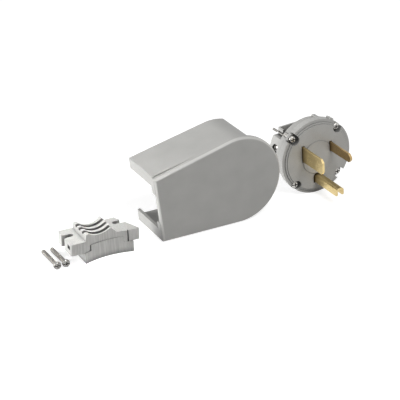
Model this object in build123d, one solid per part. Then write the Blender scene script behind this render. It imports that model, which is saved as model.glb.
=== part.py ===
"""Right-angle power plug, taken apart and laid out in a row on a flat surface.

From left to right: two loose clamp screws, the cord clamp, the hollow cover lying on one
straight side, and the plug body with its blades. All lengths are millimetres. The row runs
along X, the fronts face -Y and Z is up. The origin is at the centre of the base.
"""
from build123d import *
import os
from math import atan2, cos, degrees, hypot, radians, sin

# Cover: a teardrop front with two straight walls, open at the back and at both ends
cover_depth = 40.2
cover_run = 60.5
cover_inset = 0.7
cover_half_angle = 6.6
cover_wall = 4.0
cover_front_wall = 2.6
cover_wall_end_angle = 68.0
rim_radius = 32.4
rim_half_angle = 7.4
rim_depth = 4.0
rim_edge_round = 2.2
mouth_lip_height = 3.8
mouth_lip_thickness = 2.2
mouth_cheek_length = 9.5
mouth_cheek_depth = 4.2

# Plug body: flange with a stepped face, and the rear body behind it
flange_radius = 28.75
flange_thickness = 5.0
step_one_radius = 26.4
step_one_height = 0.9
step_two_radius = 25.1
step_two_height = 0.7
centre_pad_radius = 12.5
centre_pad_height = 0.5
rear_radius = 26.6
rear_length = 7.6
tower_radius = 25.0
tower_length = 11.9
tower_wall = 2.5
pocket_floor = 1.0
hub_half_width = 7.2
barrier_top = 19.0
barrier_reach = 16.5
barrier_front = 5.4
barrier_thickness = 6.5
barrier_wall = 1.2
key_height = 1.3
key_width = 3.2
flange_key_angle = 61.0
rear_key_angle = 76.0
plug_roll = 3.9

# Blades and ground pin
blade_thickness = 1.65
blade_offset = 11.6
blade_rise = 5.5
blade_tip = 28.5
blade_tip_chamfer = 2.4
wide_blade_width = 12.0
narrow_blade_width = 7.0
wide_tail_width = 9.0
ground_width = 6.4
ground_height = 5.9
ground_wall = 1.4
ground_top_round = 2.2
ground_tip = 30.5
ground_drop = 13.4
ground_hole_gap = 0.8
blade_hole_gap = 0.4
ground_nose_angle = 18.0
blade_edge_round = 0.33

# Terminals: frame, pressure plate and screw
frame_length = 8.0
frame_wall = 1.1
frame_bore_width = 9.2
wire_gap = 3.2
pressure_plate_thickness = 1.3
pressure_plate_gap = 0.3
pressure_ridge_height = 0.4
pressure_ridge_inset = 3.0
terminal_screw_radius = 1.9
terminal_head_radius = 3.1
terminal_head_height = 2.0
terminal_head_gap = 3.0
terminal_access_gap = 0.8

# Screws that hold the face plate on the rear body
face_screw_inset = 3.0
face_screw_radius = 1.75
face_screw_length = 9.6
face_head_radius = 2.7
face_head_height = 2.0
face_recess_radius = 3.8
face_recess_depth = 2.6

# Bonding strap at the rear
strap_width = 4.2
strap_thickness = 0.8
strap_inset = 6.95
strap_angle = 138.0
strap_length = 20.0
strap_curl_radius = 0.9
strap_seat = 3.0

# Cord clamp: an upper half with the saddle and lugs, over a lower half
clamp_depth = 24.0
clamp_length = 50.2
lug_bottom = 7.9
lug_top = 16.3
saddle_top = 20.8
saddle_left = 10.9
saddle_right = 34.6
saddle_run = 4.2
saddle_left_lean = 0.6
saddle_radius = 13.2
saddle_floor = 17.6
saddle_groove_depth = 2.6
saddle_centre = 22.2
rib_thickness = 2.7
rib_count = 4
waist_depth = 3.4
back_waist_depth = 2.0
waist_left = 9.4
waist_right = 42.4
clamp_corner_round = 1.6
lug_slot_width = 4.0
lug_slot_mouth = 5.4
lug_slot_length = 7.4
left_slot_depth = 14.4
right_slot_depth = 16.4
lug_slot_flare = 2.6
nut_slit_height = 2.8
nut_slit_depth = 2.4
nut_slit_front = 2.0
nut_slit_back = 6.0
nut_slit_rise = 11.8
base_left = 9.9
base_right = 45.4
base_taper = 3.4
base_ledge = 0.5
tongue_left = 14.2
tongue_right = 38.9
tongue_height = 4.2
tongue_gap = 0.6
front_groove_width = 0.9
front_groove_depth = 1.3
right_end_setback = 1.0
right_end_slant = 8.6

# Clamp screws lying on the surface
clamp_screw_length = 27.0
clamp_screw_radius = 1.42
clamp_head_radius = 2.7
clamp_head_height = 1.9
clamp_screw_pitch = 6.3

# Screw heads and shank ends, shared by all screws
slot_width = 0.8
slot_depth = 0.9
cross_length = 3.0
head_dome_share = 0.6
shank_chamfer_share = 0.33

# Fits
sliding_gap = 0.1
hole_gap = 0.2

# Places in the row, measured from the lower front corner of the cover's cord end
plug_place = (132.3, 15.7)
clamp_place = (-68.4, -1.1)
clamp_screw_place = (-77.9, 0.6)


def upright(outline, front, back):
    """Solid of an outline drawn in X and Z, between two depths measured along +Y."""
    return Pos(0, front, 0) * extrude(Plane.XZ * outline, amount=-(back - front))


def side_plate(outline, thickness):
    """Solid of an outline drawn in Y and Z, centred on X = 0."""
    return extrude(Plane.YZ * outline, amount=thickness / 2, both=True)


def rectangle(left, right, bottom, top):
    """Rectangle given by its four sides."""
    return Pos((left + right) / 2, (bottom + top) / 2) * Rectangle(right - left, top - bottom)


def box(left, right, front, back, bottom, top):
    """Block given by its six sides."""
    centre = Pos((left + right) / 2, (front + back) / 2, (bottom + top) / 2)
    return centre * Box(right - left, back - front, top - bottom)


def rod(radius, front, back):
    """Round rod along +Y between two depths."""
    return upright(Circle(radius), front, back)


def cross_rod(radius, left, right, depth):
    """Round rod along +X between two sides, its axis at Z = 0 and a given depth."""
    return Pos((left + right) / 2, depth, 0) * Rot(0, 90, 0) * Cylinder(radius, right - left)


# Cover

cover_radius = rim_radius - cover_inset


def teardrop(radius, reach, half_angle):
    """Round end of the given radius with two straight sides that close in on the cord end."""
    lean = radians(half_angle)
    half_end = (radius - reach * sin(lean)) / cos(lean)
    touch_x = -radius * sin(lean)
    touch_y = radius * cos(lean)
    edges = [
        Line((-reach, -half_end), (touch_x, -touch_y)),
        ThreePointArc((touch_x, -touch_y), (radius, 0), (touch_x, touch_y)),
        Line((touch_x, touch_y), (-reach, half_end)),
        Line((-reach, half_end), (-reach, -half_end)),
    ]
    return make_face(edges)


def cover_reach():
    """Distance from the centre of the round end to the cord end, along the cover's middle."""
    lean = radians(cover_half_angle)
    return cover_run * cos(lean) + rim_radius * sin(lean)


def lie_down(shape, half_angle):
    """Turn a shape drawn about the round end's centre so that its lower side lies level."""
    return Pos(cover_run, 0, rim_radius) * Rot(0, -half_angle, 0) * shape


def on_cover(shape):
    """Put a shape drawn in the frame of the cover's walls in its place."""
    return lie_down(shape, cover_half_angle)


def past_cord_end():
    """Everything beyond the plane in which the cover ends at the cord."""
    reach = cover_reach()
    size = 2 * cover_radius
    return on_cover(box(-reach - size, -reach, -1, cover_depth + 1, -size, size))


def make_cover_front():
    """Front plate with its rim, cut off at the cord end, its front edge rounded all round."""
    past_end = cover_reach() + 2 * cover_wall
    plate = upright(teardrop(rim_radius, past_end, rim_half_angle), 0, rim_depth)
    plate = lie_down(plate, rim_half_angle) - past_cord_end()
    front_edges = plate.edges().filter_by_position(Axis.Y, -0.01, 0.01)
    return fillet(front_edges, rim_edge_round)


def make_cover_walls():
    """Two straight walls behind the front plate, each ending on the round end."""
    walls = upright(teardrop(cover_radius, cover_reach(), cover_half_angle), rim_depth, cover_depth)
    open_left = cover_radius * cos(radians(cover_wall_end_angle))
    size = 2 * cover_radius
    walls = on_cover(walls - box(open_left, size, rim_depth, cover_depth + 1, -size, size))
    foot_top = cover_inset + cover_wall / 2
    foot = box(-cover_wall, cover_run, rim_depth, cover_depth, 0, foot_top)
    return walls + (foot - past_cord_end())


def make_cover_hollow():
    """Inside of the cover, open at the back and at the cord end."""
    past_end = cover_reach() + 4 * cover_wall
    inside = teardrop(cover_radius - cover_wall, past_end, cover_half_angle)
    return upright(inside, cover_front_wall, 2 * cover_depth)


def mouth_half_height():
    """Half the clear height between the straight walls at the cord end."""
    lean = radians(cover_half_angle)
    return (cover_radius - cover_wall - cover_reach() * sin(lean)) / cos(lean)


def make_mouth_rim():
    """Lip across both straight walls and cheeks on the front wall, at the cord end."""
    half = mouth_half_height()
    left = -cover_reach()
    lip_right = left + mouth_lip_thickness
    overlap = cover_wall / 2
    cheek_back = cover_front_wall + mouth_cheek_depth
    parts = []
    for side in (-1, 1):
        lip_in = side * (half - mouth_lip_height)
        wall_in = side * (half + overlap)
        low, high = sorted((lip_in, wall_in))
        lip = upright(rectangle(left, lip_right, low, high), cover_front_wall / 2, cover_depth)
        cheek_in = side * (half - mouth_cheek_length)
        low, high = sorted((cheek_in, wall_in))
        cheek = upright(rectangle(left, lip_right, low, high), cover_front_wall / 2, cheek_back)
        parts += [lip, cheek]
    return parts


def screw_points():
    """Centres of the four face screws, in X and Z about the plug's axis."""
    half = (flange_radius - face_screw_inset) * cos(radians(45))
    return [(x, z) for x in (-half, half) for z in (-half, half)]


def make_cover():
    """Whole cover, one moulding."""
    cover = make_cover_front() + make_cover_walls() - on_cover(make_cover_hollow())
    for piece in make_mouth_rim():
        cover = cover + on_cover(piece)
    return cover


# Plug body, about its own axis: X right, Z up, depth along +Y from the flange's front

step_one_front = -step_one_height
step_two_front = step_one_front - step_two_height
rear_back = flange_thickness + rear_length
tower_back = rear_back + tower_length
frame_front = rear_back + pocket_floor
frame_back = frame_front + frame_length
pocket_half_width = frame_bore_width / 2 + frame_wall + sliding_gap


class Terminal:
    """Sizes of one terminal, measured outwards from the plug's axis."""

    def __init__(self, name, inner, thickness, turn, centre):
        self.name = name
        self.inner = inner
        self.turn = turn
        self.centre = centre
        self.tail_outer = inner + thickness
        self.plate_inner = self.tail_outer + wire_gap
        self.plate_outer = self.plate_inner + pressure_plate_thickness
        self.wall_inner = self.plate_outer + pressure_plate_gap
        self.wall_outer = self.wall_inner + frame_wall
        self.head_inner = self.wall_outer + terminal_head_gap
        self.frame_inner = inner - frame_wall

    def place(self, shape):
        """Turn a shape drawn along +X to this terminal's direction."""
        return Pos(*self.centre) * Rot(0, self.turn, 0) * shape


def make_terminals():
    """The terminals of the wide blade, the narrow blade and the ground pin."""
    blade_inner = blade_offset - blade_thickness / 2
    wide = Terminal("wide", blade_inner, blade_thickness, 180, (0, 0, blade_rise))
    narrow = Terminal("narrow", blade_inner, blade_thickness, 0, (0, 0, blade_rise))
    ground = Terminal("ground", ground_drop, ground_wall, 90, (0, 0, 0))
    return [wide, narrow, ground]


def screw_depth():
    """Depth of the terminal screws' axes."""
    return (frame_front + frame_back) / 2


def cut_screw_seats(body, depth, radius):
    """Cut a round recess at each assembly screw, from the front down to a depth."""
    for x, z in screw_points():
        body = body - Pos(x, 0, z) * rod(radius, step_two_front - 1, depth)
    return body


def rim_notch(x, z):
    """Slot that opens an assembly screw's recess through the flange's rim."""
    turn = 45 * (1 if x * z > 0 else -1)
    reach = hypot(x, z)
    half = face_recess_radius
    slot = box(reach, reach + 2 * half, step_two_front, flange_thickness + 1, -half, half)
    hollow = slot - Pos(reach, 0, 0) * rod(half - sliding_gap, -flange_radius, flange_radius)
    flip = 180 if x < 0 else 0
    return Rot(0, -turn + flip, 0) * hollow


def key(radius, angle, front, back):
    """Small rib along the outside of a round body."""
    rib = box(radius - 1, radius + key_height, front, back, -key_width / 2, key_width / 2)
    return Rot(0, -angle, 0) * fillet(rib.edges().filter_by(Axis.Y), key_height / 3)


def blade_slot(width, offset, gap, front, back):
    """Opening for one blade, with a gap all round."""
    half = blade_thickness / 2 + gap
    reach = width / 2 + gap
    return box(offset - half, offset + half, front, back, blade_rise - reach, blade_rise + reach)


def ground_outline(gap):
    """Round-topped outline of the ground pin, enlarged by a gap."""
    half = ground_width / 2 + gap
    top = -ground_drop + gap
    bottom = -ground_drop - ground_height - gap
    outline = rectangle(-half, half, bottom, top)
    return fillet(outline.vertices().group_by(Axis.Y)[-1], ground_top_round + gap)


def make_face_plate():
    """Flange with its two raised steps and centre pad."""
    plate = rod(flange_radius, 0, flange_thickness)
    plate = plate + rod(step_one_radius, step_one_front, 1)
    plate = plate + rod(step_two_radius, step_two_front, 1)
    plate = plate + rod(centre_pad_radius, step_two_front - centre_pad_height, 1)
    plate = plate + key(flange_radius, flange_key_angle, 0, flange_thickness)
    plate = cut_screw_seats(plate, face_recess_depth, face_recess_radius)
    plate = cut_screw_seats(plate, flange_thickness + 1, face_screw_radius + hole_gap)
    for x, z in screw_points():
        plate = plate - rim_notch(x, z)
    front = -flange_radius
    back = flange_thickness + 1
    plate = plate - blade_slot(wide_blade_width, -blade_offset, blade_hole_gap, front, back)
    plate = plate - blade_slot(narrow_blade_width, blade_offset, blade_hole_gap, front, back)
    return plate - upright(ground_outline(ground_hole_gap), front, back)


def tower(terminal):
    """Block that holds one terminal, inside the tower radius."""
    half = pocket_half_width + tower_wall
    block = box(hub_half_width - 1, tower_radius + 2, rear_back - 1, tower_back, -half, half)
    inside = rod(tower_radius, 0, tower_back)
    return terminal.place(block) & inside


def tower_cuts(terminal):
    """Pocket, screw access hole and tail slot of one tower."""
    half = pocket_half_width
    back = tower_back + 1
    inner = terminal.frame_inner - sliding_gap
    outer = terminal.wall_outer + sliding_gap
    pocket = box(inner, outer, frame_front, back, -half, half)
    access_radius = terminal_head_radius + terminal_access_gap
    access = cross_rod(access_radius, outer, outer + tower_radius, screw_depth())
    return [terminal.place(pocket), terminal.place(access)]


def tail_slot(terminal, half_width):
    """Slot through the rear body for the part that runs back into a terminal."""
    low = terminal.inner - sliding_gap
    high = terminal.tail_outer + sliding_gap
    half = half_width + sliding_gap
    return terminal.place(box(low, high, 0, frame_front + 1, -half, half))


def tail_half_widths():
    """Half widths of the three tails, in the order of the terminals."""
    return [wide_tail_width / 2, narrow_blade_width / 2, ground_width / 2]


def strap_frame():
    """Place of the bonding strap: X outwards, Y along its length."""
    return Rot(0, -strap_angle, 0) * Pos(flange_radius - strap_inset, 0, 0)


def make_rear_body():
    """Moulding behind the flange, with three terminal towers and a barrier."""
    body = rod(rear_radius, flange_thickness, rear_back)
    body = body + key(rear_radius, rear_key_angle, flange_thickness, rear_back)
    terminals = make_terminals()
    for terminal in terminals:
        body = body + tower(terminal)
    hub = hub_half_width
    body = body + box(-hub, hub, rear_back - 1, tower_back, -hub, hub + blade_rise)
    barrier_back = rear_back + barrier_front + barrier_thickness
    column = box(-hub / 2, hub / 2, rear_back - 1, barrier_back, hub, barrier_top)
    tower_top = blade_rise + pocket_half_width + tower_wall
    shelf_front = rear_back + barrier_front
    shelf = box(-barrier_reach, hub / 2, shelf_front, barrier_back, tower_top - 1, barrier_top)
    left = barrier_wall - barrier_reach
    back = barrier_back - barrier_wall
    inside = box(left, -hub / 2, shelf_front - 1, back, tower_top, barrier_top + 1)
    body = body + column + (shelf - inside)
    for terminal, half_width in zip(terminals, tail_half_widths()):
        for cut in tower_cuts(terminal):
            body = body - cut
        body = body - tail_slot(terminal, half_width)
    for x, z in screw_points():
        body = body - Pos(x, 0, z) * rod(face_screw_radius + hole_gap, 0, tower_back + 1)
    return body - strap_frame() * strap_seat_cut()


def strap_seat_cut():
    """Slot in the rear body that holds the foot of the bonding strap."""
    half = strap_thickness / 2
    wide = strap_width / 2
    return box(-wide, wide, rear_back - strap_seat, tower_back + 1, -half, half)


def blade_profile(width, tail_width):
    """Side view of a blade: chamfered tip in front, narrower tail behind the flange."""
    low = blade_rise - width / 2
    high = blade_rise + width / 2
    tail_low = blade_rise - tail_width / 2
    tail_high = blade_rise + tail_width / 2
    tip = -blade_tip
    cut = blade_tip_chamfer
    shoulder = flange_thickness
    tail_end = frame_back
    points = [
        (tip, low + cut),
        (tip + cut, low),
        (shoulder, low),
        (shoulder, tail_low),
        (tail_end, tail_low),
        (tail_end, tail_high),
        (shoulder, tail_high),
        (shoulder, high),
        (tip + cut, high),
        (tip, high - cut),
    ]
    distinct = [point for place, point in enumerate(points) if point != points[place - 1]]
    return make_face(Polyline(*distinct, close=True))


def make_blade(width, tail_width, offset):
    """Flat brass blade with softened long edges."""
    blade = side_plate(blade_profile(width, tail_width), blade_thickness)
    long_edges = blade.edges().filter_by(Axis.Y).filter_by_position(Axis.Y, -blade_tip, 0)
    return Pos(offset, 0, 0) * fillet(long_edges, blade_edge_round)


def make_ground_pin():
    """U-shaped pin, open below and at the tip, with a flat tail behind the flange."""
    outer = upright(ground_outline(0), -ground_tip, flange_thickness)
    half = ground_width / 2 - ground_wall
    top = -ground_drop - ground_wall
    inner = rectangle(-half, half, -ground_drop - 2 * ground_height, top)
    inner = fillet(inner.vertices().group_by(Axis.Y)[-1], ground_top_round - ground_wall / 2)
    pin = outer - upright(inner, -ground_tip - 1, flange_thickness + 1)
    tail_half = ground_width / 2
    tail = box(-tail_half, tail_half, flange_thickness - 1, frame_back, top, -ground_drop)
    trim = upright(ground_outline(0), flange_thickness - 1, flange_thickness)
    tail = (tail & trim) + box(-tail_half, tail_half, flange_thickness, frame_back, top, -ground_drop)
    side = tail_half + 1
    reach = 2 * ground_height
    nose = box(-side, side, -ground_tip - 2, -ground_tip, -reach, reach)
    slope = Pos(0, 0, -ground_drop) * Rot(ground_nose_angle, 0, 0) * nose
    return pin + tail - slope


def make_terminal_frame(terminal):
    """Brass box frame round the tail, tapped for the terminal screw."""
    half = frame_bore_width / 2
    outside = half + frame_wall
    frame = box(terminal.frame_inner, terminal.wall_outer, frame_front, frame_back, -outside, outside)
    frame = frame - box(terminal.inner, terminal.wall_inner, frame_front - 1, frame_back + 1, -half, half)
    hole_radius = terminal_screw_radius + sliding_gap
    hole = cross_rod(hole_radius, terminal.wall_inner - 1, terminal.wall_outer + 1, screw_depth())
    return terminal.place(frame - hole)


def make_pressure_plate(terminal):
    """Plate under the terminal screw, with its ends turned over the frame's edges."""
    half = frame_bore_width / 2 - sliding_gap
    front = frame_front + sliding_gap
    back = frame_back - sliding_gap
    plate = box(terminal.plate_inner, terminal.plate_outer, front, back, -half, half)
    ridge_top = terminal.plate_inner - pressure_ridge_height
    inset = pressure_ridge_inset
    ridge = box(ridge_top, terminal.plate_inner, front + inset, back - inset, -half, half)
    return terminal.place(plate + ridge)


def driver_slot(head_radius, top):
    """Straight slot and cross recess cut into a head whose top faces +Z."""
    long_slot = Pos(0, 0, top) * Box(2 * head_radius + 1, slot_width, 2 * slot_depth)
    cross = Pos(0, 0, top) * Box(slot_width, cross_length, 2 * slot_depth)
    return long_slot + cross


def round_head_screw(radius, length, head_radius, head_height):
    """Screw along Z: the shank ends at Z = 0 and the head is domed at the top."""
    shank = Pos(0, 0, length / 2) * Cylinder(radius, length)
    shank = chamfer(shank.edges().group_by(Axis.Z)[0], radius * shank_chamfer_share)
    head = Pos(0, 0, length + head_height / 2) * Cylinder(head_radius, head_height)
    head = fillet(head.edges().group_by(Axis.Z)[-1], head_height * head_dome_share)
    return shank + head - driver_slot(head_radius, length + head_height)


def make_terminal_screws():
    """One screw in each terminal, its tip against the pressure plate."""
    screws = []
    for terminal in make_terminals():
        length = terminal.head_inner - terminal.plate_outer
        screw = round_head_screw(terminal_screw_radius, length, terminal_head_radius, terminal_head_height)
        laid = Pos(terminal.plate_outer, screw_depth(), 0) * Rot(0, 90, 0) * screw
        screws.append(terminal.place(laid))
    return screws


def make_face_plate_screws():
    """Four screws through the flange, heads sunk in their recesses."""
    screws = []
    screw = round_head_screw(
        face_screw_radius, face_screw_length, face_head_radius, face_head_height
    )
    facing = Rot(90, 0, 0) * screw
    for x, z in screw_points():
        screws.append(Pos(x, face_recess_depth + face_screw_length, z) * facing)
    return screws


def make_bonding_strap():
    """Flat strip that stands out of the back, its end rolled over."""
    front = rear_back - strap_seat
    back = front + strap_length
    half = strap_width / 2 - sliding_gap
    thin = strap_thickness / 2 - sliding_gap / 2
    strip = box(-half, half, front, back, -thin, thin)
    curl = cross_rod(strap_curl_radius, -half, half, back)
    return strap_frame() * (strip + curl)


def on_plug(shape):
    """Stand the plug body on its rim, at its place in the row."""
    x, y = plug_place
    return Pos(x, y, flange_radius) * Rot(0, -plug_roll, 0) * shape


# Cord clamp, from its left end and its front, on the surface

def clamp_plan(front):
    """Plan of the upper half: waisted front and back, right end cut at a slant."""
    middle = (waist_left + waist_right) / 2
    right_front = front + right_end_setback
    back_end = clamp_length - right_end_slant
    back_waist = waist_right - right_end_slant
    edges = [
        Line((0, front), (waist_left, front)),
        ThreePointArc((waist_left, front), (middle, front + waist_depth), (waist_right, right_front)),
        Line((waist_right, right_front), (clamp_length, right_front)),
        Line((clamp_length, right_front), (back_end, clamp_depth)),
        Line((back_end, clamp_depth), (back_waist, clamp_depth)),
        ThreePointArc(
            (back_waist, clamp_depth), (middle, clamp_depth - back_waist_depth), (waist_left, clamp_depth)
        ),
        Line((waist_left, clamp_depth), (0, clamp_depth)),
        Line((0, clamp_depth), (0, front)),
    ]
    return make_face(edges)


def lug_slot(end, depth, turn):
    """Screw slot from a lug's end, at a depth behind the front, flared at its mouth."""
    half = lug_slot_width / 2
    wide = lug_slot_mouth / 2
    flare = lug_slot_flare
    run = lug_slot_length - half
    path = [(-wide, -wide), (0, -wide), (flare, -half), (run, -half)]
    path += [(run, half), (flare, half), (0, wide), (-wide, wide)]
    plan = make_face(Polyline(*path, close=True)) + Pos(run, 0) * Circle(half)
    slot = extrude(plan, amount=lug_top + saddle_top)
    return Pos(end, depth, 0) * Rot(0, 0, turn) * slot


def saddle_section():
    """Raised middle seen from the front: ramps on both sides, level shoulders."""
    points = [
        (saddle_left, lug_bottom),
        (saddle_left, lug_top),
        (saddle_left + saddle_left_lean, saddle_top),
        (saddle_right - saddle_run, saddle_top),
        (saddle_right, lug_top),
        (saddle_right, lug_bottom),
    ]
    return make_face(Polyline(*points, close=True))


def saddle_cuts(front):
    """Round hollow across the saddle, deeper between the ribs."""
    centre_z = saddle_floor + saddle_radius
    hollow = Pos(saddle_centre, 0, centre_z) * rod(saddle_radius, -1, clamp_depth + 1)
    cuts = [hollow]
    pitch = (clamp_depth - front - back_waist_depth - rib_thickness) / (rib_count - 1)
    deep = saddle_radius + saddle_groove_depth
    for place in range(rib_count - 1):
        start = front + pitch * place + rib_thickness
        groove = Pos(saddle_centre, 0, centre_z) * rod(deep, start, start + pitch - rib_thickness)
        cuts.append(groove)
    return cuts


def make_clamp_saddle():
    """Upper half of the clamp: two slotted lugs and the ribbed saddle."""
    front = base_ledge
    plan = clamp_plan(front)
    lugs = Pos(0, 0, lug_bottom) * extrude(plan, amount=lug_top - lug_bottom)
    whole = Pos(0, 0, lug_bottom) * extrude(plan, amount=saddle_top - lug_bottom + 1)
    middle = upright(saddle_section(), 0, clamp_depth) & whole
    upper = lugs + middle
    for cut in saddle_cuts(front + waist_depth - rib_thickness / 2):
        upper = upper - cut
    notch = box(tongue_left, tongue_right, -1, clamp_depth + 1, 0, lug_bottom + tongue_height)
    upper = upper - notch
    upper = upper - lug_slot(0, left_slot_depth, 0)
    right_slot_end = clamp_length - right_end_slant * right_slot_depth / clamp_depth
    upper = upper - lug_slot(right_slot_end, right_slot_depth, 180)
    slit_front = front + nut_slit_front
    slit_back = front + nut_slit_back
    slit_top = nut_slit_rise + nut_slit_height
    slit = box(-1, nut_slit_depth, slit_front, slit_back, nut_slit_rise, slit_top)
    groove_back = front + right_end_setback + front_groove_depth
    groove = box(waist_right - front_groove_width, waist_right, -1, groove_back, 0, 2 * lug_top)
    upper = upper - slit - groove
    corners = upper.edges().filter_by(Axis.Z).group_by(Axis.X)[0]
    ends = [edge for edge in corners if abs(edge.center().Y - clamp_depth / 2) > clamp_depth / 3]
    long_ends = [edge for edge in ends if edge.length > lug_top - lug_bottom - 1]
    return fillet(long_ends, clamp_corner_round)


def base_plan():
    """Plan of the lower half, waisted in front and at the back."""
    middle = (base_left + base_right) / 2
    back_right = base_right - base_taper
    edges = [
        ThreePointArc((base_left, 0), (middle, waist_depth), (base_right, base_ledge)),
        Line((base_right, base_ledge), (back_right, clamp_depth - base_ledge)),
        ThreePointArc(
            (back_right, clamp_depth - base_ledge),
            (middle, clamp_depth - waist_depth),
            (base_left, clamp_depth - base_ledge),
        ),
        Line((base_left, clamp_depth - base_ledge), (base_left, 0)),
    ]
    return make_face(edges)


def make_clamp_base():
    """Lower half of the clamp: a waisted block with a tongue that fits the upper half."""
    plan = base_plan()
    block = extrude(plan, amount=lug_bottom)
    tall = extrude(plan, amount=lug_bottom + tongue_height)
    left = tongue_left + tongue_gap
    right = tongue_right - sliding_gap
    tongue = box(left, right, -1, clamp_depth + 1, 0, lug_bottom + tongue_height)
    return block + (tall & tongue)


def on_clamp(shape):
    """Put the clamp at its place in the row."""
    x, y = clamp_place
    return Pos(x, y, 0) * shape


def make_clamp_screws():
    """Two loose screws, each resting on its head's rim and on the shank's far end."""
    shank = clamp_screw_length - clamp_head_height
    screw = round_head_screw(clamp_screw_radius, shank, clamp_head_radius, clamp_head_height)
    drop = clamp_head_radius - clamp_screw_radius
    tilt = degrees(atan2(drop, shank - clamp_screw_radius * shank_chamfer_share))
    x, y = clamp_screw_place
    laid = []
    for place in range(2):
        lying = Rot(90 - tilt, 0, 0) * screw
        lift = -lying.bounding_box().min.Z
        back = -lying.bounding_box().min.Y
        laid.append(Pos(x + place * clamp_screw_pitch, y + back, lift) * lying)
    return laid


# All nodes, centred on their common base and written out

def make_nodes():
    """Every sub-part by name, as a list of solids in the row's own frame."""
    nodes = {
        "cover": [make_cover()],
        "clamp_saddle": [on_clamp(make_clamp_saddle())],
        "clamp_base": [on_clamp(make_clamp_base())],
        "clamp_screws": make_clamp_screws(),
        "face_plate": [on_plug(make_face_plate())],
        "rear_body": [on_plug(make_rear_body())],
        "wide_blade": [on_plug(make_blade(wide_blade_width, wide_tail_width, -blade_offset))],
        "narrow_blade": [on_plug(make_blade(narrow_blade_width, narrow_blade_width, blade_offset))],
        "ground_pin": [on_plug(make_ground_pin())],
        "terminal_screws": [on_plug(screw) for screw in make_terminal_screws()],
        "face_plate_screws": [on_plug(screw) for screw in make_face_plate_screws()],
        "bonding_strap": [on_plug(make_bonding_strap())],
    }
    for terminal in make_terminals():
        nodes[terminal.name + "_terminal_frame"] = [on_plug(make_terminal_frame(terminal))]
        nodes[terminal.name + "_pressure_plate"] = [on_plug(make_pressure_plate(terminal))]
    return nodes


def solids_of(shapes):
    """Flat list of the solids in a list of shapes."""
    return [solid for shape in shapes for solid in shape.solids()]


def write_nodes():
    """Move the row so that its base is centred on the origin and export each node."""
    os.makedirs("parts", exist_ok=True)
    nodes = {name: solids_of(shapes) for name, shapes in make_nodes().items()}
    whole = Compound([solid for solids in nodes.values() for solid in solids]).bounding_box()
    shift = Pos(-(whole.min.X + whole.max.X) / 2, -(whole.min.Y + whole.max.Y) / 2, -whole.min.Z)
    for name, solids in nodes.items():
        moved = [shift * solid for solid in solids]
        shape = moved[0] if len(moved) == 1 else Compound(moved)
        export_step(shape, "parts/" + name + ".step")
    print("shift", [round(value, 4) for value in shift.position])
    print("size", [round(value, 3) for value in whole.size])


write_nodes()
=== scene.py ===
# %% [markdown]
# # A right-angle power plug, taken apart
#
# The real object is a heavy grounding plug of grey moulded plastic, laid out in a row:
# two loose screws, the cord clamp, the hollow cover and the round body with its brass
# blades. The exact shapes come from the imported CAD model, which this script loads first
# and never moves. Blender adds what that model leaves out: the finish of each surface,
# the threads on the screws, and the camera and light of a product picture.

# %% Load the fixed model
from math import atan2, cos, degrees, pi, radians, sin

import bpy
from mathutils import Matrix, Vector


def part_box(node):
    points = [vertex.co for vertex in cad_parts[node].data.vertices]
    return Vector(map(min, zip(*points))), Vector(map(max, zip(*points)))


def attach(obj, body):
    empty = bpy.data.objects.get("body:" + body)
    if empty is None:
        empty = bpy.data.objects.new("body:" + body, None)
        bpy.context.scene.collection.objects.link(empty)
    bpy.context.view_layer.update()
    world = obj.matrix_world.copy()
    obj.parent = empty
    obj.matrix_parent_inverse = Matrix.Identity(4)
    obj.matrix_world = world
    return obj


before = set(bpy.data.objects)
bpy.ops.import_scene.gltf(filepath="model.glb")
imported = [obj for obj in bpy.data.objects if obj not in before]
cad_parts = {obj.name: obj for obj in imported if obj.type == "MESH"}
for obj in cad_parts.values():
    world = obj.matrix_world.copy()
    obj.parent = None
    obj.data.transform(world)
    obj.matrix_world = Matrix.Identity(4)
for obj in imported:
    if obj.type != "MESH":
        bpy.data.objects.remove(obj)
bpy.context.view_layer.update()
print("nodes:", sorted(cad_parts))

# %% [markdown]
# ## One helper for nodes, one class for sums
#
# Materials and Geometry Nodes are both trees of nodes. `add_node` makes any node: its
# settings come first, because a setting can change which sockets the node has, and the
# values or links of its sockets follow. `Link` wraps a socket, so that shader maths can
# be written as a Python sum: each operator adds one Math node and returns its output.

# %% Nodes and sums
def plain(value):
    """The socket inside a Link, or the value itself."""
    return value.socket if isinstance(value, Link) else value


def add_node(tree, kind, settings=None, inputs=None):
    """Add a node, set its settings, then fill its sockets with values or links."""
    node = tree.nodes.new(kind)
    for name, value in (settings or {}).items():
        setattr(node, name, value)
    for name, value in (inputs or {}).items():
        value = plain(value)
        if isinstance(value, bpy.types.NodeSocket):
            tree.links.new(value, node.inputs[name])
        else:
            node.inputs[name].default_value = value
    return node


class Link:
    """A number socket that takes part in Python sums."""

    def __init__(self, tree, socket):
        self.tree = tree
        self.socket = socket

    def math(self, operation, first, second):
        """Output of a new Math node on two numbers, plain or linked."""
        settings = {"operation": operation}
        node = add_node(self.tree, "ShaderNodeMath", settings, {0: first, 1: second})
        return Link(self.tree, node.outputs[0])

    def __add__(self, other):
        return self.math("ADD", self, other)

    def __radd__(self, other):
        return self.math("ADD", other, self)

    def __sub__(self, other):
        return self.math("SUBTRACT", self, other)

    def __rsub__(self, other):
        return self.math("SUBTRACT", other, self)

    def __mul__(self, other):
        return self.math("MULTIPLY", self, other)

    def __rmul__(self, other):
        return self.math("MULTIPLY", other, self)

    def __truediv__(self, other):
        return self.math("DIVIDE", self, other)

    def __rtruediv__(self, other):
        return self.math("DIVIDE", other, self)


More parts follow.
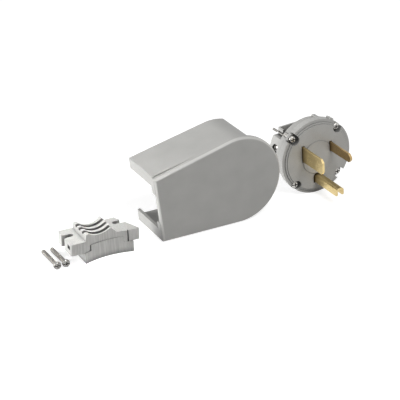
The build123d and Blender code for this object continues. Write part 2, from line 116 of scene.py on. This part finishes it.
# %% [markdown]
# ## The camera
#
# A photograph fixes where its camera stood. Here the direction, the distance and the
# lens were fitted to points of the plug whose sizes are known, and the picture leans by
# about a degree. The camera aims at a point measured from the cover, so it follows the
# model if the row is ever laid out differently. Its axes are worked out one by one rather
# than with a Track To constraint, because the lean is part of them.

# %% Camera
MM = 0.001
IMAGE_AZIMUTH = radians(-27.223)
IMAGE_ELEVATION = radians(26.378)
IMAGE_LEAN = radians(-1.248)
CAMERA_DISTANCE = 900.9 * MM
CAMERA_LENS = 118.547
CLIP_NEAR = 0.05
CLIP_FAR = 20.0
COVER_RIGHT = 92.9 * MM
AIM_FROM_COVER = Vector((27.053, -2.635, 27.108)) * MM


def cover_corner():
    """Lower front corner at the cover's cord end, from which places are measured."""
    low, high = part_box("cover")
    return Vector((high.x - COVER_RIGHT, low.y, 0))


def camera_axes():
    """Right, up and back of the camera, leaned a little as the photograph is."""
    side = Vector((cos(IMAGE_AZIMUTH), sin(IMAGE_AZIMUTH), 0))
    level = Vector((sin(IMAGE_AZIMUTH), -cos(IMAGE_AZIMUTH), 0))
    back = level * cos(IMAGE_ELEVATION) + Vector((0, 0, sin(IMAGE_ELEVATION)))
    top = back.cross(side)
    right = side * cos(IMAGE_LEAN) + top * sin(IMAGE_LEAN)
    up = top * cos(IMAGE_LEAN) - side * sin(IMAGE_LEAN)
    return right, up, back


def make_camera():
    """Camera at the photograph's place, set as the scene's camera."""
    data = bpy.data.cameras.new("photo_camera")
    data.lens = CAMERA_LENS
    data.clip_start = CLIP_NEAR
    data.clip_end = CLIP_FAR
    camera = bpy.data.objects.new("photo_camera", data)
    bpy.context.scene.collection.objects.link(camera)
    right, up, back = camera_axes()
    turn = Matrix((right, up, back)).transposed().to_4x4()
    aim = cover_corner() + AIM_FROM_COVER
    camera.matrix_world = Matrix.Translation(aim + back * CAMERA_DISTANCE) @ turn
    bpy.context.scene.camera = camera
    return camera


print("camera at", [round(v, 4) for v in make_camera().location])

# %% [markdown]
# ## Floor and surroundings
#
# The plug was photographed on white. The floor is a matt grey that keeps the soft
# shadow of each piece. For the camera, and for reflections in metal, it also glows,
# which lifts it to white without adding any light to the object. The world does the
# same: it is white to the camera and to reflections, and a much dimmer grey lights the
# object evenly from all around.

# %% Floor and world
FLOOR_SIZE = 6.0
FLOOR_DROP = 0.0001
FLOOR_COLOUR = (0.48, 0.48, 0.48, 1.0)
FLOOR_GLOW = 0.74
WORLD_LIGHT = 0.20
WORLD_SEEN = 1.0
WHITE = (1.0, 1.0, 1.0, 1.0)


def seen_directly(tree):
    """1 for rays from the camera, from reflections and through glass, 0 for light."""
    path = add_node(tree, "ShaderNodeLightPath")
    camera, glossy, through = (
        Link(tree, path.outputs[name])
        for name in ("Is Camera Ray", "Is Glossy Ray", "Is Transmission Ray")
    )
    return camera + glossy + through


def floor_material():
    """Matt floor that glows only where it is looked at."""
    material = bpy.data.materials.new("pale_floor")
    material.use_nodes = True
    tree = material.node_tree
    tree.nodes.clear()
    matt = add_node(tree, "ShaderNodeBsdfDiffuse", None, {"Color": FLOOR_COLOUR})
    glow = add_node(tree, "ShaderNodeEmission", None, {"Strength": FLOOR_GLOW})
    inputs = {0: matt.outputs[0], 1: glow.outputs[0]}
    both = add_node(tree, "ShaderNodeAddShader", None, inputs)
    inputs = {0: seen_directly(tree), 1: matt.outputs[0], 2: both.outputs[0]}
    choice = add_node(tree, "ShaderNodeMixShader", None, inputs)
    add_node(tree, "ShaderNodeOutputMaterial", None, {"Surface": choice.outputs[0]})
    return material


def make_floor():
    """Large square just under the object."""
    half = FLOOR_SIZE / 2
    corners = [(-half, -half), (half, -half), (half, half), (-half, half)]
    mesh = bpy.data.meshes.new("floor")
    mesh.from_pydata([(x, y, -FLOOR_DROP) for x, y in corners], [], [(0, 1, 2, 3)])
    mesh.materials.append(floor_material())
    floor = bpy.data.objects.new("floor", mesh)
    bpy.context.scene.collection.objects.link(floor)


def make_world():
    """White to look at, dimmer grey as light."""
    world = bpy.data.worlds.new("studio")
    world.use_nodes = True
    bpy.context.scene.world = world
    tree = world.node_tree
    tree.nodes.clear()
    kind = "ShaderNodeBackground"
    light = add_node(tree, kind, None, {"Color": WHITE, "Strength": WORLD_LIGHT})
    white = add_node(tree, kind, None, {"Color": WHITE, "Strength": WORLD_SEEN})
    inputs = {0: seen_directly(tree), 1: light.outputs[0], 2: white.outputs[0]}
    choice = add_node(tree, "ShaderNodeMixShader", None, inputs)
    add_node(tree, "ShaderNodeOutputWorld", None, {"Surface": choice.outputs[0]})


make_floor()
make_world()
bpy.context.scene.view_settings.view_transform = "Standard"
print("floor of", FLOOR_SIZE, "m, world light", WORLD_LIGHT)

# %% [markdown]
# ## Lamps
#
# In the photograph the faces that look left are nearly white, the tops are paler than
# the fronts, and the fronts are an even mid grey. One large soft lamp low on the left
# does most of that, a second one above the camera and to its right lights fronts and
# tops, and the world fills the rest. The clamp's tops are paler than anything else, so
# a small lamp with a narrow spread reaches only them. Area lamps are used because their
# size sets how soft a shadow's edge is.

# %% Lamps
ROW_MIDDLE = (-0.01, 0.0, 0.02)
CLAMP_MIDDLE = (-0.090, -0.004, 0.016)
LAMPS = {
    "left_softbox": {
        "place": (-1.40, 0.48, 0.25),
        "aim": ROW_MIDDLE,
        "size": 0.75,
        "power": 38.0,
    },
    "front_softbox": {
        "place": (0.06, -0.85, 1.05),
        "aim": ROW_MIDDLE,
        "size": 0.6,
        "power": 10.6,
    },
    "clamp_lamp": {
        "place": (-0.04, -0.02, 0.55),
        "aim": CLAMP_MIDDLE,
        "size": 0.05,
        "power": 0.0130,
        "spread": radians(13),
    },
}


def make_lamp(name, place, aim, size, power, spread=pi):
    """Square area lamp at a place, facing the point it is aimed at."""
    data = bpy.data.lights.new(name, "AREA")
    data.size = size
    data.energy = power
    data.spread = spread
    lamp = bpy.data.objects.new(name, data)
    lamp.location = place
    lamp.rotation_mode = "QUATERNION"
    lamp.rotation_quaternion = (Vector(aim) - lamp.location).to_track_quat("-Z", "Y")
    bpy.context.scene.collection.objects.link(lamp)


for lamp_name, settings in LAMPS.items():
    make_lamp(lamp_name, **settings)
print("lamps:", sorted(LAMPS))

# %% [markdown]
# ## A material to build finishes on
#
# Every finish here starts in the same way: a Principled shader, positions read from
# Object coordinates in metres, and a Bevel node that rounds the look of sharp CAD
# edges. Comparing that rounded normal with the true one also tells how near an edge a
# point is, which is where handling wears a surface and where the plastics also get a
# painted highlight. An Ambient Occlusion node finds the gaps and recesses, which are
# painted darker as shade. The class keeps these shared steps, so that each finish below
# only says what is special about it.

# %% Shared steps of a finish
BEVEL_SAMPLES = 4
HIDDEN_SAMPLES = 8
# The edge mask runs between these; it drives wear and, on plastic, a painted highlight.
EDGE_MASK_START = 0.02
EDGE_MASK_FULL = 0.30
FRONT_FACING = (-0.97, -0.86)
SIDE_FACING = (-0.08, -0.30)


class Finish:
    """A procedural material on real-scale Object coordinates."""

    def __init__(self, name, edge_radius):
        self.material = bpy.data.materials.new(name)
        self.material.use_nodes = True
        self.tree = self.material.node_tree
        self.shader = self.tree.nodes["Principled BSDF"]
        self.place = self.node("ShaderNodeTexCoord").outputs["Object"]
        settings = {"samples": BEVEL_SAMPLES}
        bevel = self.node("ShaderNodeBevel", settings, {"Radius": edge_radius})
        self.round_normal = bevel.outputs["Normal"]

    def node(self, kind, settings=None, inputs=None):
        """Add any node to this material."""
        return add_node(self.tree, kind, settings, inputs)

    def link(self, socket):
        """A socket of this material, ready for sums."""
        return Link(self.tree, socket)

    def stretched(self, scale):
        """Object coordinates multiplied along each axis, to draw a pattern out."""
        settings = {"operation": "MULTIPLY"}
        inputs = {0: self.place, 1: scale}
        return self.node("ShaderNodeVectorMath", settings, inputs).outputs[0]

    def noise(self, size, detail, place=None):
        """Cloudy pattern from 0 to 1, with features of the given size in metres."""
        inputs = {"Vector": place or self.place, "Scale": 1.0 / size, "Detail": detail}
        return self.link(self.node("ShaderNodeTexNoise", None, inputs).outputs[0])

    def spread(self, value, low, high):
        """Stretch the part of a pattern between two levels to the range 0 to 1."""
        inputs = {"Value": value, "From Min": low, "From Max": high}
        return self.link(self.node("ShaderNodeMapRange", None, inputs).outputs[0])

    def edge_mask(self):
        """1 on edges and corners, 0 on flat ground."""
        true_normal = self.node("ShaderNodeNewGeometry").outputs["Normal"]
        inputs = {0: self.round_normal, 1: true_normal}
        product = self.node("ShaderNodeVectorMath", {"operation": "DOT_PRODUCT"}, inputs)
        turned = 1.0 - self.link(product.outputs["Value"])
        return self.spread(turned, EDGE_MASK_START, EDGE_MASK_FULL)

    def crevice(self, reach, low, high):
        """1 deep in gaps and recesses narrower than a reach, 0 out in the open."""
        settings = {"samples": HIDDEN_SAMPLES}
        hidden = self.node("ShaderNodeAmbientOcclusion", settings, {"Distance": reach})
        return self.spread(1.0 - self.link(hidden.outputs["AO"]), low, high)

    def along(self, vector, axis):
        """One coordinate of a vector: "X", "Y" or "Z"."""
        parts = self.node("ShaderNodeSeparateXYZ", None, {0: vector})
        return self.link(parts.outputs[axis])

    def rim_round(self):
        """1 on edges rounded between the front and the sides, 0 on both flats: where a
        rim highlight is painted.
        """
        true_normal = self.node("ShaderNodeNewGeometry").outputs["Normal"]
        facing = self.along(true_normal, "Y")
        return self.spread(facing, *FRONT_FACING) * self.spread(facing, *SIDE_FACING)

    def blend(self, factor, first, second):
        """Colour between two others."""
        inputs = {0: factor, 6: first, 7: second}
        return self.node("ShaderNodeMix", {"data_type": "RGBA"}, inputs).outputs[2]

    def bump(self, height, depth):
        """Let a pattern raise the rounded surface by up to a depth in metres."""
        inputs = {"Height": height, "Distance": depth, "Normal": self.round_normal}
        bump = self.node("ShaderNodeBump", None, inputs)
        self.tree.links.new(bump.outputs[0], self.shader.inputs["Normal"])

    def set(self, **values):
        """Fill the shader's sockets, their names written with underscores."""
        for name, value in values.items():
            socket = self.shader.inputs[name.replace("_", " ").title()]
            value = plain(value)
            if isinstance(value, bpy.types.NodeSocket):
                self.tree.links.new(value, socket)
            else:
                socket.default_value = value
        return self.material


def grey(level):
    """Colour of one level, with the slight warmth of the moulding."""
    return (level, level * 0.993, level * 0.955, 1.0)


# %% [markdown]
# ## Grey moulded plastic
#
# The mouldings are a filled thermoplastic: matt, mid grey, with a fine sparkle from the
# eroded mould surface, slow clouds where the melt flowed, and edges painted pale, partly
# as wear and partly as a painted highlight. The fine grain is a bump of a few hundredths
# of a millimetre. Colour moves by only a few per cent, because stronger clouds would read
# as dirt. Each moulding then differs a little: the cover's rounded rim, and more faintly
# the face's, gets a painted highlight, the clamp keeps fine upright streaks from its
# mould, and the deep pockets of the body get the most painted shade. Recesses are painted
# darker as shade, given as how far a recess may be open, the two levels of shelter
# between which it builds up, and how much of the surface it darkens.

# %% Plastic finish
MOULD_EDGE = 0.35 * MM
GRAIN_SIZE = 0.35 * MM
GRAIN_LEVELS = (0.25, 0.75)
GRAIN_DEPTH = 0.03 * MM
GRAIN_SHARE = 0.7
PEEL_SIZE = 1.6 * MM
CLOUD_SIZE = 14.0 * MM
CLOUD_LEVELS = (0.3, 0.7)
CLOUD_SHARE = 0.65
STREAK_SIZE = 0.9 * MM
STREAK_LEVELS = (0.35, 0.65)
STREAK_STRETCH = (1.0, 1.0, 0.06)
STREAK_PALE = 1.45
TONE_RANGE = 0.07
# Edges painted pale, partly as wear and partly as a painted highlight.
WEAR_AND_HIGHLIGHT_PALE = 1.7
WEAR_AND_HIGHLIGHT_LIMIT = 0.8
EDGE_WEAR_AND_HIGHLIGHT_SHARE = 0.6
# Painted shade in recesses: its colour, then per moulding reach, two levels and share.
RECESS_SHADE_LEVEL = 0.12
GLOSS_RANGE = 0.06
COVER_RECESS_SHADE = (3.0 * MM, 0.30, 0.85, 0.10)
FACE_RECESS_SHADE = (8.0 * MM, 0.16, 0.60, 0.70)
POCKET_RECESS_SHADE = (8.0 * MM, 0.25, 0.65, 0.92)
CLAMP_RECESS_SHADE = (7.0 * MM, 0.14, 0.62, 0.90)


def moulded_plastic(name, level, roughness, shade_in_recesses, rim=0.0, streaks=0.0):
    """Matt grey moulding with grain, flow clouds, edges pale from wear and a painted
    highlight, and recesses darkened as painted shade.
    """
    finish = Finish(name, MOULD_EDGE)
    grain = finish.noise(GRAIN_SIZE, 3.0)
    peel = finish.noise(PEEL_SIZE, 2.0)
    cloud = finish.spread(finish.noise(CLOUD_SIZE, 3.0), *CLOUD_LEVELS)
    speckle = finish.spread(grain, *GRAIN_LEVELS)
    tone = cloud * CLOUD_SHARE + speckle * (1.0 - CLOUD_SHARE)
    dark, pale = grey(level * (1.0 - TONE_RANGE)), grey(level * (1.0 + TONE_RANGE))
    body = finish.blend(tone, dark, pale)
    if streaks:
        lines = finish.noise(STREAK_SIZE, 2.0, finish.stretched(STREAK_STRETCH))
        drawn = finish.spread(lines, *STREAK_LEVELS) * streaks
        body = finish.blend(drawn, body, grey(level * STREAK_PALE))
    # Pale edges are partly wear, partly a painted highlight; the rim adds a painted
    # highlight.
    wear_and_highlight = finish.edge_mask() * EDGE_WEAR_AND_HIGHLIGHT_SHARE
    if rim:
        wear_and_highlight = wear_and_highlight + finish.rim_round() * rim
    skin = finish.blend(wear_and_highlight, body, grey(min(level * WEAR_AND_HIGHLIGHT_PALE, WEAR_AND_HIGHLIGHT_LIMIT)))
    # Recesses are darkened here as painted shade.
    reach, low, high, share = shade_in_recesses
    painted_shade = finish.crevice(reach, low, high) * share
    finish.bump(grain * GRAIN_SHARE + peel * (1.0 - GRAIN_SHARE), GRAIN_DEPTH)
    return finish.set(
        base_color=finish.blend(painted_shade, skin, grey(level * RECESS_SHADE_LEVEL)),
        roughness=roughness - GLOSS_RANGE + speckle * (2 * GLOSS_RANGE),
    )


# %% [markdown]
# ## Brass
#
# The blades are punched from rolled brass strip and bent, so their surface carries fine
# lines along the strip, faint brown toning where hands have touched it, and brighter
# rubbed edges. A socket rubs the ends of the blades clean, while their roots at the face
# keep a dark tone. Metal shows its surroundings more than its own colour, which is why
# the roughness pattern matters as much as the tint.

# %% Brass finish
BRASS_BRIGHT = (0.70, 0.555, 0.27, 1.0)
BRASS_BROWN = (0.45, 0.315, 0.145, 1.0)
BRASS_TONED = (0.22, 0.145, 0.065, 1.0)
BRASS_RUBBED = (0.90, 0.82, 0.56, 1.0)
ROLLING_LINE = 0.25 * MM
ROLLING_DEPTH = 0.012 * MM
ROLLING_STRETCH = (1.0, 0.05, 1.0)
TONING_SIZE = 9.0 * MM
TONING_LEVELS = (0.42, 0.72)
TONING_SHARE = 0.8
ROOT_SHARE = 0.65
BRASS_RUB_SHARE = 0.7
BRASS_ROUGHNESS = 0.22
METAL_EDGE = 0.18 * MM
ROOT_START = -2.0 * MM
ROOT_END = -9.0 * MM


def rolled_brass(name, bright):
    """Brass strip with rolling lines, toning darkest at the root, rubbed edges."""
    finish = Finish(name, METAL_EDGE)
    lines = finish.noise(ROLLING_LINE, 2.0, finish.stretched(ROLLING_STRETCH))
    patches = finish.spread(finish.noise(TONING_SIZE, 4.0), *TONING_LEVELS)
    root = finish.spread(finish.along(finish.place, "Y"), ROOT_END, ROOT_START)
    toning = patches * (1.0 - ROOT_SHARE) + root * ROOT_SHARE
    skin = finish.blend(toning * TONING_SHARE, bright, BRASS_TONED)
    rubbed = finish.edge_mask() * BRASS_RUB_SHARE
    finish.bump(lines, ROLLING_DEPTH)
    return finish.set(
        base_color=finish.blend(rubbed, skin, BRASS_RUBBED),
        metallic=1.0,
        roughness=BRASS_ROUGHNESS + lines * 0.12 + toning * 0.14,
    )


# %% [markdown]
# ## Plated steel
#
# Screws and the strap are zinc plated steel. Plating leaves a fine grain and a faint
# cloudiness, and the recesses and the cross slots are painted dark as shade. Each finish
# names its bright and its stained colour. The loose screws have been used: their
# threads are browner than their heads.

# %% Steel finishes
PLATE_CLEAN = (0.52, 0.51, 0.49, 1.0)
PLATE_STAINED = (0.20, 0.18, 0.15, 1.0)
STRAP_CLEAN = (0.30, 0.29, 0.27, 1.0)
STRAP_STAINED = (0.12, 0.11, 0.10, 1.0)
HEAD_CLEAN = (0.36, 0.355, 0.34, 1.0)
HEAD_STAINED = (0.06, 0.055, 0.05, 1.0)
THREAD_CLEAN = (0.24, 0.225, 0.20, 1.0)
THREAD_STAINED = (0.05, 0.04, 0.03, 1.0)
STEEL_RUBBED = (0.90, 0.89, 0.87, 1.0)
# Painted shade in recesses and slots: its colour, then its reach and levels below.
STEEL_SHADE_COLOUR = (0.03, 0.025, 0.02, 1.0)
STEEL_RUB_SHARE = 0.5
STEEL_SHADE_REACH = 2.0 * MM
STEEL_SHADE_LEVELS = (0.15, 0.5)
PLATING_MARK = 0.3 * MM
PLATING_DEPTH = 0.01 * MM
STAIN_SIZE = 1.5 * MM
STAIN_RAMP = 0.25


def plated_steel(name, bright, stained, stain_from, roughness):
    """Zinc plating with cloudy stains, bright edges, and recesses painted dark as shade.
    """
    finish = Finish(name, METAL_EDGE)
    marks = finish.noise(PLATING_MARK, 3.0)
    clouds = finish.noise(STAIN_SIZE, 4.0)
    stain = finish.spread(clouds, stain_from, stain_from + STAIN_RAMP)
    skin = finish.blend(stain, bright, stained)
    rubbed = finish.blend(finish.edge_mask() * STEEL_RUB_SHARE, skin, STEEL_RUBBED)
    # Recesses and cross slots are darkened here as painted shade.
    steel_shade = finish.crevice(STEEL_SHADE_REACH, *STEEL_SHADE_LEVELS)
    finish.bump(marks, PLATING_DEPTH)
    return finish.set(
        base_color=finish.blend(steel_shade, rubbed, STEEL_SHADE_COLOUR),
        metallic=1.0,
        roughness=roughness + marks * 0.15 + stain * 0.15,
    )


# %% [markdown]
# ## The finishes of this plug
#
# The recipes above give ten finishes. A grey one takes its level, its roughness and its
# painted shade in recesses, a brass one its colour, and a steel one its two colours, the
# level at which stains start, and its roughness. They are made once and shared, so that
# pieces of one kind stay alike.

# %% All finishes
FINISHES = {
    # The rim values paint a highlight on the rounded rims of the cover and the face.
    "cover_grey": moulded_plastic("cover_grey", 0.37, 0.42, COVER_RECESS_SHADE, rim=0.75),
    "face_grey": moulded_plastic("face_grey", 0.41, 0.30, FACE_RECESS_SHADE, rim=0.3),
    "body_grey": moulded_plastic("body_grey", 0.36, 0.40, POCKET_RECESS_SHADE),
    "clamp_grey": moulded_plastic("clamp_grey", 0.41, 0.40, CLAMP_RECESS_SHADE, streaks=0.6),
    "brass": rolled_brass("rolled_brass", BRASS_BRIGHT),
    "brown_brass": rolled_brass("brown_brass", BRASS_BROWN),
    "steel": plated_steel("zinc_plate", PLATE_CLEAN, PLATE_STAINED, 0.50, 0.20),
    "strap": plated_steel("dull_plate", STRAP_CLEAN, STRAP_STAINED, 0.50, 0.35),
    "head": plated_steel("used_head", HEAD_CLEAN, HEAD_STAINED, 0.46, 0.16),
    "thread": plated_steel("used_thread", THREAD_CLEAN, THREAD_STAINED, 0.44, 0.18),
}
print("finishes:", sorted(FINISHES))

# %% [markdown]
# ## Each piece gets its finish
#
# A CAD node keeps its mesh and only changes its material. The dictionary below names
# the finish of every node, so a missing node stops the script instead of staying plain.

# %% Finish of every node
NODE_FINISH = {
    "cover": "cover_grey",
    "clamp_saddle": "clamp_grey",
    "clamp_base": "clamp_grey",
    "face_plate": "face_grey",
    "rear_body": "body_grey",
    "wide_blade": "brass",
    "narrow_blade": "brown_brass",
    "ground_pin": "brass",
    "wide_terminal_frame": "brass",
    "narrow_terminal_frame": "brass",
    "ground_terminal_frame": "brass",
    "wide_pressure_plate": "brass",
    "narrow_pressure_plate": "brass",
    "ground_pressure_plate": "brass",
    "clamp_screws": "head",
    "terminal_screws": "steel",
    "face_plate_screws": "steel",
    "bonding_strap": "strap",
}

for node_name, cad_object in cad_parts.items():
    cad_object.data.materials.clear()
    cad_object.data.materials.append(FINISHES[NODE_FINISH[node_name]])

# %% [markdown]
# ## Threads, wound by Geometry Nodes
#
# A screw thread is one ridge that follows a helix. The CAD screws are plain shanks, so
# the ridge is added here. The tree takes a straight edge for each shank, cuts it into
# short steps, and moves each step sideways by an angle that grows with the length
# along the shank. A small round profile swept along the result is the ridge. This way
# one tree winds every thread, whatever way its screw points, and pitch and radius stay
# plain inputs.

# %% The thread tree
THREAD_STEPS = 16
RIDGE_SIDES = 6
THREAD_INPUTS = {"Radius": 1.4 * MM, "Pitch": 0.8 * MM, "Ridge": 0.2 * MM}


def thread_tree():
    """Geometry Nodes tree that winds a ridge round every edge of its input."""
    tree = bpy.data.node_groups.new("wound_thread", "GeometryNodeTree")
    sockets = {}

    def add_socket(name, direction, kind):
        """Add an input or output to the tree itself."""
        kind = "NodeSocket" + kind
        return tree.interface.new_socket(name, in_out=direction, socket_type=kind)

    add_socket("Geometry", "INPUT", "Geometry")
    for name, value in THREAD_INPUTS.items():
        socket = add_socket(name, "INPUT", "Float")
        socket.default_value = value
        sockets[name] = socket.identifier
    sockets["Finish"] = add_socket("Finish", "INPUT", "Material").identifier
    add_socket("Geometry", "OUTPUT", "Geometry")

    given = add_node(tree, "NodeGroupInput").outputs
    radius, pitch, ridge = (Link(tree, given[name]) for name in THREAD_INPUTS)
    shank = add_node(tree, "GeometryNodeMeshToCurve", None, {"Mesh": given["Geometry"]})
    step = pitch / THREAD_STEPS
    cut = add_node(
        tree,
        "GeometryNodeResampleCurve",
        {"mode": "LENGTH"},
        {"Curve": shank.outputs[0], "Length": step},
    )
    along = Link(tree, add_node(tree, "GeometryNodeSplineParameter").outputs["Length"])
    angle = along * (2 * pi) / pitch
    normal = add_node(tree, "GeometryNodeInputNormal").outputs[0]
    tangent = add_node(tree, "GeometryNodeInputTangent").outputs[0]
    turn = add_node(
        tree,
        "ShaderNodeVectorRotate",
        {"rotation_type": "AXIS_ANGLE"},
        {"Vector": normal, "Axis": tangent, "Angle": angle},
    )
    out = add_node(
        tree,
        "ShaderNodeVectorMath",
        {"operation": "SCALE"},
        {0: turn.outputs[0], "Scale": radius},
    )
    wound = add_node(
        tree,
        "GeometryNodeSetPosition",
        None,
        {"Geometry": cut.outputs[0], "Offset": out.outputs[0]},
    )
    profile = add_node(
        tree,
        "GeometryNodeCurvePrimitiveCircle",
        {"mode": "RADIUS"},
        {"Resolution": RIDGE_SIDES, "Radius": ridge},
    )
    curves = {"Curve": wound.outputs[0], "Profile Curve": profile.outputs[0]}
    swept = add_node(tree, "GeometryNodeCurveToMesh", None, {**curves, "Fill Caps": True})
    real = add_node(tree, "GeometryNodeRealizeInstances", None, {0: swept.outputs[0]})
    dressed = add_node(
        tree,
        "GeometryNodeSetMaterial",
        None,
        {"Geometry": real.outputs[0], "Material": given["Finish"]},
    )
    add_node(tree, "NodeGroupOutput", None, {0: dressed.outputs[0]})
    return tree, sockets


THREAD_TREE, THREAD_SOCKETS = thread_tree()
print("thread tree inputs:", sorted(THREAD_SOCKETS))

# %% [markdown]
# ## From the tree to a plain piece
#
# A helper object holds one straight edge for each shank, and the tree turns it into
# threads. The result is then copied into a plain mesh of its own, which rides on the
# body of its screws. The helper and its modifier are removed.

# %% Wind a set of threads
def wind_threads(name, shanks, radius, pitch, ridge, finish):
    """Mesh piece with one thread for each pair of points in shanks."""
    mesh = bpy.data.meshes.new(name + "_lines")
    points = [point for shank in shanks for point in shank]
    edges = [(2 * place, 2 * place + 1) for place in range(len(shanks))]
    mesh.from_pydata(points, edges, [])
    lines = bpy.data.objects.new(name + "_lines", mesh)
    bpy.context.scene.collection.objects.link(lines)
    modifier = lines.modifiers.new("threads", "NODES")
    modifier.node_group = THREAD_TREE
    values = {"Radius": radius, "Pitch": pitch, "Ridge": ridge, "Finish": finish}
    for socket, value in values.items():
        modifier[THREAD_SOCKETS[socket]] = value
    bpy.context.view_layer.update()
    seen = lines.evaluated_get(bpy.context.evaluated_depsgraph_get())
    result = bpy.data.meshes.new_from_object(seen)
    lines.modifiers.remove(modifier)
    bpy.data.objects.remove(lines)
    piece = bpy.data.objects.new(name, result)
    bpy.context.scene.collection.objects.link(piece)
    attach(piece, "root")
    print(name, "faces:", len(result.polygons))


# %% [markdown]
# ## Where the shanks are
#
# The two loose screws lie on their heads' rims and the ends of their shanks, so their
# axes tilt a little. Both ends of each axis follow from the box of the screws' CAD
# node: the heads are at its front, the tips at its back on the surface. The first and
# last stretch of a shank are left plain, and three quarters of the ridge's thickness
# are sunk into it.

# %% Threads of the loose clamp screws
LOOSE_HEAD = 2.7 * MM
LOOSE_SHANK = 1.42 * MM
LOOSE_HEAD_HEIGHT = 1.9 * MM
LOOSE_TIP_CHAMFER = 0.47 * MM
LOOSE_THREAD_START = 2.2 * MM
LOOSE_THREAD_END = 0.9 * MM
LOOSE_PITCH = 0.79 * MM
LOOSE_RIDGE = 0.26 * MM
LOOSE_RIDGE_SUNK = 0.14 * MM


def loose_shanks():
    """Ends of the two loose screws' threads, from behind the head to the tip."""
    low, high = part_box("clamp_screws")
    shank = high.y - low.y - LOOSE_HEAD_HEIGHT
    tilt = atan2(LOOSE_HEAD - LOOSE_SHANK, shank - LOOSE_TIP_CHAMFER)
    run = Vector((0, cos(tilt), -sin(tilt)))
    ends = []
    for x in (low.x + LOOSE_HEAD, high.x - LOOSE_HEAD):
        neck = Vector((x, low.y + LOOSE_HEAD_HEIGHT * cos(tilt), LOOSE_HEAD * cos(tilt)))
        tip = neck + run * shank
        ends.append((neck + run * LOOSE_THREAD_START, tip - run * LOOSE_THREAD_END))
    print("loose screws tilt by", round(degrees(tilt), 2), "degrees")
    return ends


wind_threads(
    "loose_threads",
    loose_shanks(),
    radius=LOOSE_SHANK - LOOSE_RIDGE_SUNK,
    pitch=LOOSE_PITCH,
    ridge=LOOSE_RIDGE,
    finish=FINISHES["thread"],
)
